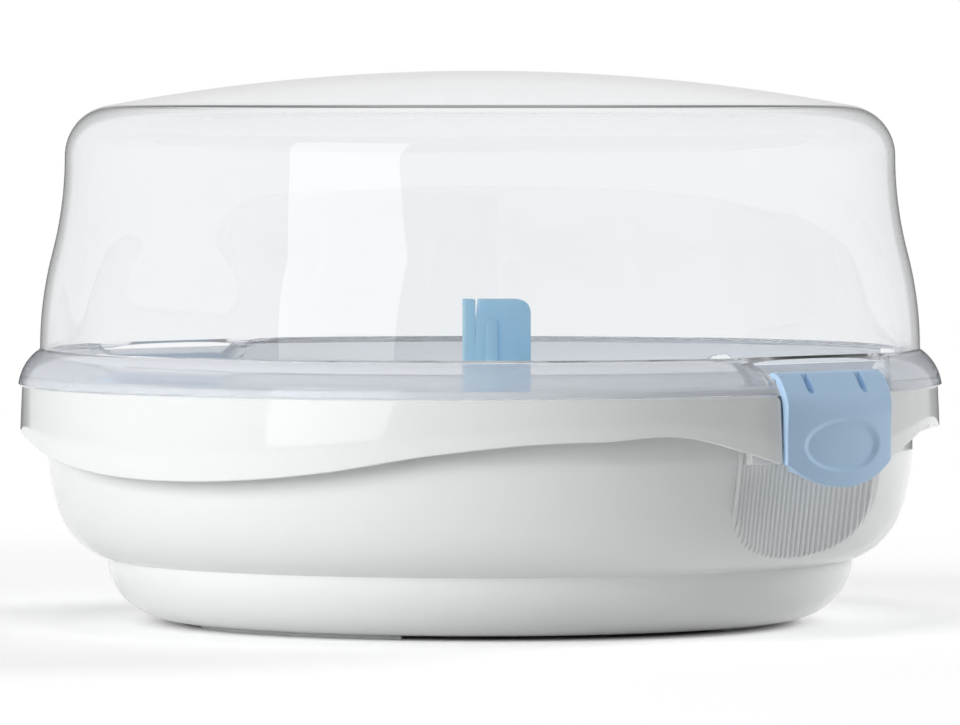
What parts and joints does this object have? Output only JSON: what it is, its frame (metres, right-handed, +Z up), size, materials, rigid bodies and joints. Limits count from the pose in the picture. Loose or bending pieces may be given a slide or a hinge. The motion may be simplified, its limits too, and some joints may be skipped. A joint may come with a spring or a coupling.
{
  "type": "microwave steam sterilizer",
  "caption": "Round microwave steam sterilizer for baby bottles: two-tier bowl, clear domed lid, swinging side clips, perforated tray and standing tongs.",
  "frame": {"origin": "on the table under the centre of the base", "axes": "+Z up, +X towards the right-hand clip; the two clips lie on the X axis"},
  "size_m": [0.28, 0.2784, 0.166],
  "materials": {
    "white_plastic": "moulded polypropylene, satin gloss",
    "clear_plastic": "clear polypropylene, polished; frosted on the skirt",
    "blue_plastic": "moulded polypropylene, satin",
    "tongs_plastic": "translucent polypropylene, gloss"
  },
  "bodies": {
    "base": {"base": "white_plastic"},
    "tray": {"tray": "white_plastic"},
    "lid": {"lid": "clear_plastic"},
    "clip_right": {"clip_right": "blue_plastic"},
    "clip_left": {"clip_left": "blue_plastic"},
    "tongs": {"tongs_bow": "tongs_plastic"},
    "tongs_arm_front": {"tongs_arm_front": "tongs_plastic"},
    "tongs_arm_rear": {"tongs_arm_rear": "tongs_plastic"}
  },
  "joints": [
    {"name": "lid_lift", "type": "slide", "parent": "base", "child": "lid", "axis": [0, 0, 1], "range_m": [0, 0.15]},
    {"name": "clip_right_open", "type": "hinge", "parent": "lid", "child": "clip_right", "pos_m": [0.1322, 0, 0.0752], "axis": [0, -1, 0], "range_deg": [0, 105]},
    {"name": "clip_left_open", "type": "hinge", "parent": "lid", "child": "clip_left", "pos_m": [-0.1322, 0, 0.0752], "axis": [0, 1, 0], "range_deg": [0, 105]},
    {"name": "tray_lift", "type": "slide", "parent": "base", "child": "tray", "axis": [0, 0, 1], "range_m": [0, 0.1]},
    {"name": "tongs_lift", "type": "slide", "parent": "base", "child": "tongs", "axis": [0, 0, 1], "range_m": [0, 0.06]},
    {"name": "tongs_squeeze_front", "type": "hinge", "parent": "tongs", "child": "tongs_arm_front", "pos_m": [0.00636, 0.00071, 0.01635], "axis": [-0.7071, -0.7071, 0], "range_deg": [0, 1.8], "stiffness_Nm_per_rad": 2},
    {"name": "tongs_squeeze_rear", "type": "hinge", "parent": "tongs", "child": "tongs_arm_rear", "pos_m": [0.00071, 0.00636, 0.01635], "axis": [0.7071, 0.7071, 0], "range_deg": [0, 1.8], "stiffness_Nm_per_rad": 2}
  ],
  "couplings": [
    {"joint": "tongs_squeeze_rear", "follows": "tongs_squeeze_front", "ratio": 1}
  ]
}
